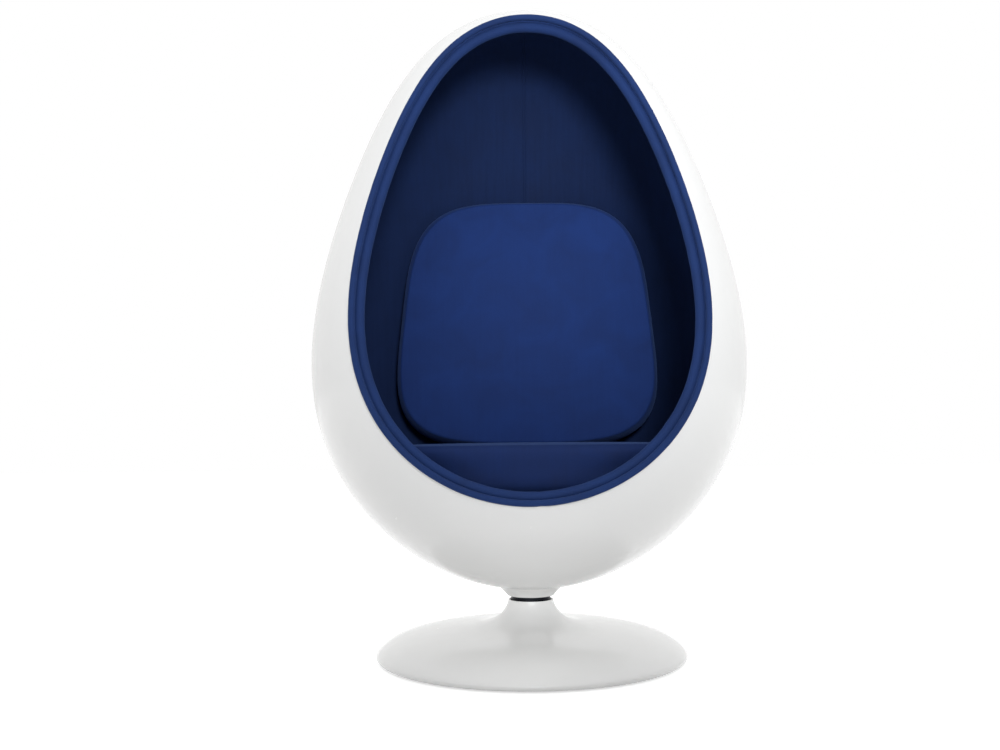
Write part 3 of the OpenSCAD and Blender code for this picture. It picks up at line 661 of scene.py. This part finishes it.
class CHAIR_OT_lining(bpy.types.Operator):
    """Velvet lining in two halves, with a recessed tape where they meet"""
    bl_idname = "chair.lining"
    bl_label = "Lining"

    def execute(self, context):
        s = read_sizes()
        velvet = cut_velvet("lining_velvet_pile", colours().lining, 0.35)
        for side, name, nodes in ((-1, "lining_half_right", ["lining_right"]),
                                  (1, "lining_half_left", ["lining_left", "lining_foam"])):
            bm = bmesh.new()
            egg_sheet(bm, lining_face() - s.velvet_t / 2, around=192, up=128)
            cut(bm, *opening_plane(s.lining_set_back))
            cut(bm, Vector((0, 0, s.board_top + LAY_GAP)), Vector((0, 0, -1)))
            for out in SEAM_LINES:
                bmesh.ops.bisect_plane(bm, geom=bm.verts[:] + bm.edges[:] + bm.faces[:], dist=1e-6,
                                       plane_co=(side * out * MM, 0, 0), plane_no=(side, 0, 0))
            cut(bm, Vector((side * SLIT, 0, 0)), Vector((-side, 0, 0)))
            bmesh.ops.reverse_faces(bm, faces=bm.faces)
            bm.normal_update()
            for vert in bm.verts:
                near = max(0, 1 - (abs(vert.co.x) - SLIT) / TUCK_REACH)
                vert.co -= vert.normal * near ** 2 * TUCK_DEPTH
            piece = finish_mesh(bm, name, velvet, "pod", place=pod_place())
            wall = piece.modifiers.new("Cloth thickness", "SOLIDIFY")
            wall.thickness = s.velvet_t
            wall.offset = 0
            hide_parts(*nodes)
        bm = bmesh.new()
        egg_sheet(bm, lining_face() - s.velvet_t + TAPE_LIFT, around=96, up=192)
        cut(bm, *opening_plane(s.lining_set_back))
        cut(bm, Vector((0, 0, s.board_top + LAY_GAP)), Vector((0, 0, -1)))
        for side in (-1, 1):
            cut(bm, Vector((side * TAPE_HALF, 0, 0)), Vector((side, 0, 0)))
        doomed = [v for v in bm.verts if v.co.y < 0 and v.co.z < s.opening_mid]
        bmesh.ops.delete(bm, geom=doomed, context="VERTS")
        bmesh.ops.reverse_faces(bm, faces=bm.faces)
        piece = finish_mesh(bm, "lining_seam_tape", velvet, "pod", place=pod_place())
        wall = piece.modifiers.new("Tape thickness", "SOLIDIFY")
        wall.thickness = TAPE_T
        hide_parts("lining_seam")
        return {"FINISHED"}


def inward(p):
    """Normal into the shell at a point of its surface, in the pod."""
    s = sizes()
    u = slope(angle_at(p.z))
    across = Vector((p.x, p.y / s.depth_share)).normalized()
    return Vector((-u.y * across.x, -u.y * across.y / s.depth_share, u.x)).normalized()


def opening_edge(a):
    """Point of the shell's cut edge at the angle a round the opening, in the pod."""
    s = sizes()
    point, normal = opening_plane()
    up = Vector((0, sin(s.opening_lean), cos(s.opening_lean)))
    low, high = 0, s.pod_h
    for _ in range(40):
        mid = (low + high) / 2
        p = point + mid * (cos(a) * Vector((1, 0, 0)) + sin(a) * up)
        low, high = (low, mid) if outside_egg(p) else (mid, high)
    return point + low * (cos(a) * Vector((1, 0, 0)) + sin(a) * up)


def welt_middle(a):
    """Middle of the welt, which lies on the shell's cut edge."""
    s = sizes()
    p, front = opening_edge(a), opening_plane()[1]
    n = inward(p)
    return p + s.shell_t * 5 / 6 * (n - n.dot(front) * front) + (s.welt_d / 2 + LAY_GAP) * front


def roll_middle(a):
    """Middle of the roll, beside the welt and clear of the shell."""
    s = sizes()
    p, m = opening_edge(a), welt_middle(a)
    n = inward(p)
    step = (s.welt_d + s.roll_d) / 2 + LAY_GAP
    return m + max(step, s.shell_t + s.roll_d / 2 + LAY_GAP - (m - p).dot(n)) * n


def groove(a):
    """Middle and radius of the cord that fills the groove between the welt and the roll."""
    s = sizes()
    welt, roll = welt_middle(a), roll_middle(a)
    apart = (roll - welt).length
    gap = apart - (s.welt_d + s.roll_d) / 2
    return welt + (roll - welt) * (s.welt_d / 2 + gap / 2) / apart, gap / 2 + CORD_BITE


def tube(bm, middles, radius_at, sides):
    """Sweeps a ring along a closed path: extruded ring by ring, then bridged to its start."""
    front = opening_plane()[1]
    count = len(middles)
    place = bm.verts.layers.float.new("place")
    made = bmesh.ops.create_circle(bm, segments=sides, radius=1)
    for i, vert in enumerate(made["verts"]):
        vert[place] = FULL * i / sides
    first = list({edge for vert in made["verts"] for edge in vert.link_edges})
    edges, verts = first, made["verts"]
    for i in range(count):
        if i:
            made = bmesh.ops.extrude_edge_only(bm, edges=edges)
            verts = [g for g in made["geom"] if isinstance(g, bmesh.types.BMVert)]
            edges = [g for g in made["geom"] if isinstance(g, bmesh.types.BMEdge)
                     and all(v in verts for v in g.verts)]
        along = (middles[(i + 1) % count] - middles[i - 1]).normalized()
        across = along.cross(front).normalized()
        ahead = across.cross(along)
        for vert in verts:
            b = vert[place]
            vert.co = middles[i] + radius_at(i, b) * (cos(b) * across + sin(b) * ahead)
    bmesh.ops.bridge_loops(bm, edges=first + edges)
    bmesh.ops.recalc_face_normals(bm, faces=bm.faces)


def joint_dip(middle):
    """How far a roll is drawn in near its sewn joint, which lies low, a little to the right."""
    if middle.z > sizes().opening_mid:
        return 0
    return exp(-((middle.x - RIM_JOINT) / JOINT_REACH) ** 2)


class CHAIR_OT_rim(bpy.types.Operator):
    """Welt on the shell's edge, padded roll inside it and a cord in the groove between them"""
    bl_idname = "chair.rim"
    bl_label = "Rim"

    def execute(self, context):
        s = read_sizes()
        velvet = cut_velvet("rim_velvet_pile", colours().rim, 0.1)
        rings = ((welt_middle, s.welt_d / 2, 20, "edge_welt", "rim_welt", 0.9, 0.25 * MM),
                 (roll_middle, s.roll_d / 2, 28, "edge_roll", "rim_roll", 0.8, 0.45 * MM))
        for middle_at, radius, sides, name, node, fill, pucker in rings:
            middles = [middle_at(FULL * i / RIM_RINGS) for i in range(RIM_RINGS)]

            def radius_at(i, b, middles=middles, radius=radius, pucker=pucker):
                wave = sin(0.61 * i + 0.7 * sin(0.23 * i)) * sin(0.17 * i + 2 * cos(b))
                return radius - pucker * (0.5 + 0.5 * wave) - JOINT_DIP * joint_dip(middles[i])

            bm = bmesh.new()
            tube(bm, middles, radius_at, sides)
            piece = finish_mesh(bm, name, velvet, "pod", sharp=pi, place=pod_place())
            smooth = piece.modifiers.new("Smooth", "SUBSURF")
            smooth.levels = smooth.render_levels = 1
            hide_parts(node)

        cord = [groove(FULL * i / RIM_RINGS) for i in range(RIM_RINGS)]
        bm = bmesh.new()
        tube(bm, [middle for middle, _ in cord], lambda i, b: cord[i][1], 10)
        piece = finish_mesh(bm, "edge_groove_cord", velvet, "pod", sharp=pi, place=pod_place())
        return {"FINISHED"}


def pad(bm, cells, boxing, place):
    """Pad of two gridded panels and a boxing between them: place(u, v, m, level, face) puts a point."""
    u_of, v_of, level_of, face_of = (bm.verts.layers.float.new(n) for n in ("u", "v", "level", "face"))
    for face in (0, 1):
        made = bmesh.ops.create_grid(bm, x_segments=cells, y_segments=cells, size=1)
        for vert in made["verts"]:
            vert[u_of], vert[v_of], vert[level_of], vert[face_of] = vert.co.x, vert.co.y, face, face
    edges = [e for e in bm.edges if len(e.link_faces) == 1 and e.verts[0][face_of] == 0]
    for i in range(1, boxing + 1):
        made = bmesh.ops.extrude_edge_only(bm, edges=edges)
        verts = [g for g in made["geom"] if isinstance(g, bmesh.types.BMVert)]
        edges = [g for g in made["geom"] if isinstance(g, bmesh.types.BMEdge)
                 and all(v in verts for v in g.verts)]
        for vert in verts:
            vert[level_of], vert[face_of] = i / boxing, 2
    for vert in bm.verts:
        u, v = vert[u_of], vert[v_of]
        m = max(abs(u), abs(v))
        vert.co = place(u, v, m, vert[level_of], round(vert[face_of]))
    bmesh.ops.remove_doubles(bm, verts=bm.verts, dist=1e-5)
    bmesh.ops.recalc_face_normals(bm, faces=bm.faces)
    return level_of, face_of


def seat_reach():
    """Distance forward from the shell's axis to the seat's top edge."""
    s = sizes()
    drop = s.opening_mid - (s.board_top + LAY_GAP) - s.seat_h
    return s.opening_reach + drop * tan(s.opening_lean) - s.seat_behind


def seat_far(a, z):
    """Distance from the shell's axis to the seat's side, before the squeeze, in a direction a."""
    s = sizes()
    back = reach_at(z, lining_face() + SEAT_GAP)
    front = seat_reach() / s.depth_share / max(-sin(a), 1e-3)
    return (back ** -SEAT_CORNER + front ** -SEAT_CORNER) ** (-1 / SEAT_CORNER)


def seat_point(u, v, m, level, face):
    """Point of the seat cushion: face 0 is its top, 1 its underside and 2 its boxing."""
    s = sizes()
    foot = s.board_top + LAY_GAP
    a = atan2(v, u)
    draw = SEAT_DRAW * exp(-((level - 0.5) / 0.2) ** 2)
    draw += (0.7 * SEAT_SOFT * max(0, 1 - level / 0.13) ** 2
             + 0.9 * SEAT_SOFT * max(0, 1 - (1 - level) / 0.16) ** 2)
    z = foot + s.seat_h * (1 - level)
    far = (seat_far(a, max(z, foot + SEAT_SOFT)) - draw) * m
    crown = crown_at_rest(s.seat_crown) * (1 - m ** CROWN_POWER) if face == 0 else 0
    return Vector((far * cos(a), far * sin(a) * s.depth_share, z + crown))


def back_foot():
    """Height of the back cushion's foot, which sinks a little into the seat."""
    s = sizes()
    return s.board_top + LAY_GAP + s.seat_h + s.seat_crown - BACK_SINK


def back_wall(x, z):
    """Where the lining lies behind a point of the back cushion."""
    s = sizes()
    far = reach_at(z, lining_face() + BACK_GAP)
    return s.depth_share * sqrt(max(far ** 2 - x ** 2, 0))


def back_point(u, v, m, level, face):
    """Point of the back cushion: face 0 is its front, 1 its back and 2 its boxing."""
    s = sizes()
    spread = (abs(u) ** BACK_CORNER + abs(v) ** BACK_CORNER) ** (1 / BACK_CORNER) if m else 1
    w, h = u / spread, v / spread
    draw = s.back_round * (2 * level - 1) ** 2
    x = (s.back_w / 2 - draw) * (1 - BACK_TAPER * h * m) * w * m
    z = back_foot() + s.back_h / 2 + (s.back_h / 2 - draw) * h * m
    wall = back_wall(x, z)
    front = s.back_set + (z - back_foot()) * tan(s.back_lean)
    crown = crown_at_rest(s.back_crown) * (1 - m ** CROWN_POWER) if face == 0 else 0
    return Vector((x, front + (wall - front) * level - crown, z))


def crease_seams(bm, level_of, face_of):
    """Marks the seam edges, where a panel meets the boxing, so that they stay crisp when smoothed."""
    crease = bm.edges.layers.float.new("crease_edge")
    for edge in bm.edges:
        ends = {round(edge.verts[0][level_of], 4), round(edge.verts[1][level_of], 4)}
        if len(ends) == 1 and ends & {0.0, 1.0}:
            kinds = {abs(f.normal.angle(edge.link_faces[0].normal, 0)) for f in edge.link_faces}
            if max(kinds) > radians(12):
                edge[crease] = SEAM_CREASE


def inflate(piece, free, cap):
    """Presses a cushion's free points outwards, as its filling does, and keeps where they come to rest."""
    scene = bpy.context.scene
    points = piece.data.vertices
    rest = [vert.co.copy() for vert in points]
    held = piece.vertex_groups.new(name="held")
    held.add([i for i in range(len(rest)) if i not in free], 1, "REPLACE")
    cloth = piece.modifiers.new("Filling", "CLOTH")
    cloth.settings.use_pressure = True
    cloth.settings.uniform_pressure_force = PRESSURE
    cloth.settings.effector_weights.gravity = 0
    cloth.settings.vertex_group_mass = held.name
    for frame_number in range(1, SWELL_FRAMES + 1):
        scene.frame_set(frame_number)
    swollen = piece.evaluated_get(bpy.context.evaluated_depsgraph_get()).data.vertices
    for vert, new, old in zip(points, [v.co.copy() for v in swollen], rest):
        step = new - old
        if step.length > 1e-7:
            vert.co = old + step * (cap * tanh(step.length / cap) / step.length)
    piece.modifiers.remove(cloth)
    piece.vertex_groups.remove(held)
    scene.frame_set(1)


def cushion(name, boxing, place, material, may_swell):
    """Cushion whose panels swell between their seams: may_swell(point, face, level) picks what moves."""
    bm = bmesh.new()
    level_of, face_of = pad(bm, PANEL_CELLS, boxing, place)
    crease_seams(bm, level_of, face_of)
    bm.verts.index_update()
    free = {v.index for v in bm.verts if may_swell(v.co, round(v[face_of]), v[level_of])}
    seams = {v.index for e in bm.edges if e[bm.edges.layers.float["crease_edge"]] > 0 for v in e.verts}
    piece = finish_mesh(bm, name, material, "pod", sharp=pi, place=pod_place())
    inflate(piece, free - seams, SWELL_CAP)
    smooth = piece.modifiers.new("Smooth", "SUBSURF")
    smooth.levels = smooth.render_levels = 1
    return piece


def crown_at_rest(crown):
    """A cushion starts flatter by what its filling then lifts."""
    return crown - SWELL_CAP


class CHAIR_OT_seat_cushion(bpy.types.Operator):
    """Seat cushion: straight in front, round behind, with its boxing drawn in"""
    bl_idname = "chair.seat_cushion"
    bl_label = "Seat cushion"

    def execute(self, context):
        read_sizes()
        # The seat's velvet is the cushions' velvet darkened by painted shade, standing in for the dimmer
        # light on its front
        velvet = cut_velvet("seat_velvet_pile", scaled(colours().cushions, SEAT_PAINTED_SHADE), 0.15)
        piece = cushion("seat_cushion", 14, seat_point, velvet,
                        lambda p, face, level: face == 0 or face == 2 and p.y < -0.5 * seat_reach())
        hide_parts("seat_cover", "seat_foam")
        return {"FINISHED"}


class CHAIR_OT_back_cushion(bpy.types.Operator):
    """Back cushion: a crowned panel with round corners and a boxing that follows the lining"""
    bl_idname = "chair.back_cushion"
    bl_label = "Back cushion"

    def execute(self, context):
        read_sizes()
        velvet = cut_velvet("cushion_velvet_pile", colours().cushions, 0.15)
        piece = cushion("back_cushion", 18, back_point, velvet, lambda p, face, level: face == 0)
        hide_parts("back_cover", "back_foam")
        return {"FINISHED"}


def seat_zip_point(share, across, out):
    """Point on the seat cushion's zip, along the back of its boxing."""
    s = sizes()
    a = radians(60 + 60 * share)
    z = s.board_top + LAY_GAP + s.seat_h / 2 + across
    far = seat_far(a, z) - SEAT_DRAW + LAY_GAP + out
    return Vector((far * cos(a), far * sin(a) * s.depth_share, z))


def back_zip_point(share, across, out):
    """Point on the back cushion's zip, along the underside of its boxing."""
    s = sizes()
    x = s.back_w * (0.3 - 0.6 * share)
    low = back_foot() - LAY_GAP - out
    wall = back_wall(x, back_foot())
    return Vector((x, wall + (s.back_set - wall) * 0.36 + across, low))


def zip_strip(name, at, teeth):
    """Zip along a path: its tape, and a row of moulded teeth with a slider."""
    bm = bmesh.new()
    for vert in bmesh.ops.create_grid(bm, x_segments=40, y_segments=4, size=1)["verts"]:
        vert.co = at((vert.co.x + 1) / 2, vert.co.y * ZIP_HALF, ZIP_TAPE_AT)
    tape = finish_mesh(bm, name + "_tape", dark_tape(), "pod", place=pod_place())
    tape.modifiers.new("Tape thickness", "SOLIDIFY").thickness = ZIP_TAPE_T
    bm = bmesh.new()
    for i in range(teeth + 1):
        share = (i + 0.5) / (teeth + 1)
        middle = at(share, 0, ZIP_TEETH_AT)
        along = (at(share + 0.01, 0, ZIP_TEETH_AT) - middle).normalized()
        out = (at(share, 0, 2 * MM) - middle).normalized()
        side = out.cross(along)
        turn = Matrix((along, side, out)).transposed().to_4x4()
        size = ZIP_SLIDER if i == SLIDER_PLACE else ZIP_TOOTH
        made = bmesh.ops.create_cube(bm, size=MM, matrix=Matrix.Translation(middle) @ turn
                                     @ Matrix.Diagonal((*size, 1)))
        if i == SLIDER_PLACE:
            edges = list({edge for vert in made["verts"] for edge in vert.link_edges})
            bmesh.ops.bevel(bm, geom=edges, offset=0.4 * MM, segments=2, affect="EDGES", profile=0.5,
                            material=-1)
    return tape, finish_mesh(bm, name + "_teeth", moulded_teeth(), "pod", place=pod_place())


class CHAIR_OT_zips(bpy.types.Operator):
    """Zips out of sight on the two cushions: behind the seat and under the back"""
    bl_idname = "chair.zips"
    bl_label = "Zips"

    def execute(self, context):
        read_sizes()
        for name, at, teeth in (("seat_zip", seat_zip_point, 96), ("back_zip", back_zip_point, 104)):
            for piece in zip_strip(name, at, teeth):
                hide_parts(name)
        return {"FINISHED"}


def dress(material, *nodes):
    """Gives a finish to the frame's own solids."""
    for name in nodes:
        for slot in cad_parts[name].material_slots:
            slot.material = material


class CHAIR_OT_fittings(bpy.types.Operator):
    """Finishes of the glides, ballast, column, bearing, spindle, plates, screws and boards"""
    bl_idname = "chair.fittings"
    bl_label = "Fittings"

    def execute(self, context):
        dress(moulded_rubber(), "floor_glides")
        dress(sand_cast_iron(), "ballast_plate")
        dress(zinc_plate(), "base_screws", "column_bolts", "retaining_washer", "retaining_bolt",
              "mount_bolts", "mount_washers", "mount_nuts", "board_screws")
        dress(powder_coat(), "column", "backing_plate")
        dress(turned_acetal(), "lower_bush", "upper_bush")
        dress(ground_steel(), "lower_race", "upper_race", "bearing_balls")
        dress(pressed_brass(), "ball_cage")
        dress(blackened_steel(), "spindle")
        dress(birch_plywood(), "inner_pad", "board_blocks")
        dress(stained_board(), "seat_board")
        return {"FINISHED"}


def area_lamp(name, place, aim, size, power, spread, tint):
    """A round lamp at a place, aimed at a point, with its spread in degrees."""
    lamp = bpy.data.lights.new(name, "AREA")
    lamp.shape = "DISK"
    lamp.size = size
    lamp.energy = power
    lamp.color = linear(tint)[:3]
    lamp.spread = radians(spread)
    holder = bpy.data.objects.new(name, lamp)
    holder.location = place
    holder.rotation_euler = (Vector(aim) - Vector(place)).to_track_quat("-Z", "Y").to_euler()
    bpy.context.scene.collection.objects.link(holder)


def seen_white(tree):
    """Is 1 for the rays from the camera, and from gloss and glass, that see the white background."""
    path = add(tree, "ShaderNodeLightPath")
    seen = path.outputs["Is Camera Ray"]
    for ray in ("Is Glossy Ray", "Is Transmission Ray"):
        seen = add(tree, "ShaderNodeMath", {0: seen, 1: path.outputs[ray]}, operation="MAXIMUM").outputs[0]
    return seen


def white_floor():
    """Pale seamless paper: matt, and white to the camera, with the chair's shadow left in it."""
    material = bpy.data.materials.new("studio_paper")
    material.use_nodes = True
    tree = material.node_tree
    tree.nodes.clear()
    lit = add(tree, "ShaderNodeBsdfDiffuse", {"Color": linear("#DCDCDC")})
    glow = add(tree, "ShaderNodeEmission", {"Color": (1, 1, 1, 1), "Strength": 0.6})
    both = add(tree, "ShaderNodeAddShader", {0: lit.outputs[0], 1: glow.outputs[0]})
    mixed = add(tree, "ShaderNodeMixShader", {0: seen_white(tree), 1: lit.outputs[0], 2: both.outputs[0]})
    add(tree, "ShaderNodeOutputMaterial", {"Surface": mixed.outputs[0]})
    return material


def studio_light():
    """World that lights from the sides and behind, dim in front, and is white where it is seen."""
    world = bpy.data.worlds.new("studio")
    world.use_nodes = True
    tree = world.node_tree
    tree.nodes.clear()
    coords = add(tree, "ShaderNodeTexCoord")
    axes = add(tree, "ShaderNodeSeparateXYZ", {0: coords.outputs["Generated"]})
    level = None
    for axis, low, high, at_low, at_high, ease, joined in (
            ("Y", -0.8, 0.05, 0.07, 1.22, "SMOOTHSTEP", None),
            ("Z", 0.3, 0.9, 0, 0.38, "LINEAR", "MAXIMUM"),
            ("Z", -0.2, 0.8, 0.85, 1.25, "LINEAR", "MULTIPLY"),
            ("Y", 0.2, 0.8, 1, 0.7, "LINEAR", "MULTIPLY")):
        part = add(tree, "ShaderNodeMapRange", {"Value": axes.outputs[axis], "From Min": low,
                                                "From Max": high, "To Min": at_low, "To Max": at_high},
                   interpolation_type=ease).outputs[0]
        level = part if level is None else add(tree, "ShaderNodeMath", {0: level, 1: part},
                                               operation=joined).outputs[0]
    strength = add(tree, "ShaderNodeMix", {0: seen_white(tree), 2: level, 3: 1.0})
    back = add(tree, "ShaderNodeBackground", {"Color": (1, 1, 1, 1), "Strength": strength.outputs[0]})
    add(tree, "ShaderNodeOutputWorld", {"Surface": back.outputs[0]})
    return world


def aimed_camera():
    """Camera of the reference view."""
    camera = bpy.data.objects.new("camera", bpy.data.cameras.new("camera"))
    camera.data.sensor_width = CAMERA_SENSOR
    camera.data.lens = CAMERA_LENS
    heading, pitch, roll = CAMERA_TURN
    ahead = Vector((sin(heading) * cos(pitch), cos(heading) * cos(pitch), sin(pitch)))
    level_right = Vector((cos(heading), -sin(heading), 0))
    level_up = level_right.cross(ahead)
    right = cos(roll) * level_right - sin(roll) * level_up
    up = sin(roll) * level_right + cos(roll) * level_up
    turn = Matrix((right, up, -ahead)).transposed().to_4x4()
    camera.matrix_world = Matrix.Translation(CAMERA_PLACE) @ turn
    return camera


class CHAIR_OT_stage(bpy.types.Operator):
    """Pale floor, soft studio light and the camera of the reference view"""
    bl_idname = "chair.stage"
    bl_label = "Stage"

    def execute(self, context):
        scene = context.scene
        bm = bmesh.new()
        bmesh.ops.create_grid(bm, x_segments=1, y_segments=1, size=FLOOR_HALF)
        mesh = bpy.data.meshes.new("studio_floor")
        bm.to_mesh(mesh)
        bm.free()
        mesh.materials.append(white_floor())
        floor = bpy.data.objects.new("studio_floor", mesh)
        scene.collection.objects.link(floor)

        scene.world = studio_light()
        for name, settings in LAMPS.items():
            area_lamp(name, *settings)

        camera = aimed_camera()
        scene.collection.objects.link(camera)
        scene.camera = camera
        scene.view_settings.view_transform = "Standard"
        return {"FINISHED"}


class CHAIR_PT_panel(bpy.types.Panel):
    """Lists the pieces of the chair"""
    bl_idname = "CHAIR_PT_panel"
    bl_label = "Pod chair"
    bl_space_type = "VIEW_3D"
    bl_region_type = "UI"
    bl_category = "Pod chair"

    def draw(self, context):
        for operator in OPERATORS:
            self.layout.operator(operator.bl_idname)


OPERATORS = (CHAIR_OT_shell, CHAIR_OT_pedestal, CHAIR_OT_collar, CHAIR_OT_lining, CHAIR_OT_rim,
             CHAIR_OT_seat_cushion, CHAIR_OT_back_cushion, CHAIR_OT_zips, CHAIR_OT_fittings,
             CHAIR_OT_stage)
CLASSES = (ChairSizes, ChairColours) + OPERATORS + (CHAIR_PT_panel,)


def register():
    for item in CLASSES:
        bpy.utils.register_class(item)
    bpy.types.Scene.chair_sizes = PointerProperty(type=ChairSizes)
    bpy.types.Scene.chair_colours = PointerProperty(type=ChairColours)


def unregister():
    del bpy.types.Scene.chair_colours
    del bpy.types.Scene.chair_sizes
    for item in reversed(CLASSES):
        bpy.utils.unregister_class(item)


def main():
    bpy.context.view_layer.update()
    register()
    for operator in OPERATORS:
        group, name = operator.bl_idname.split(".")
        getattr(getattr(bpy.ops, group), name)()


if __name__ == "__main__":
    main()
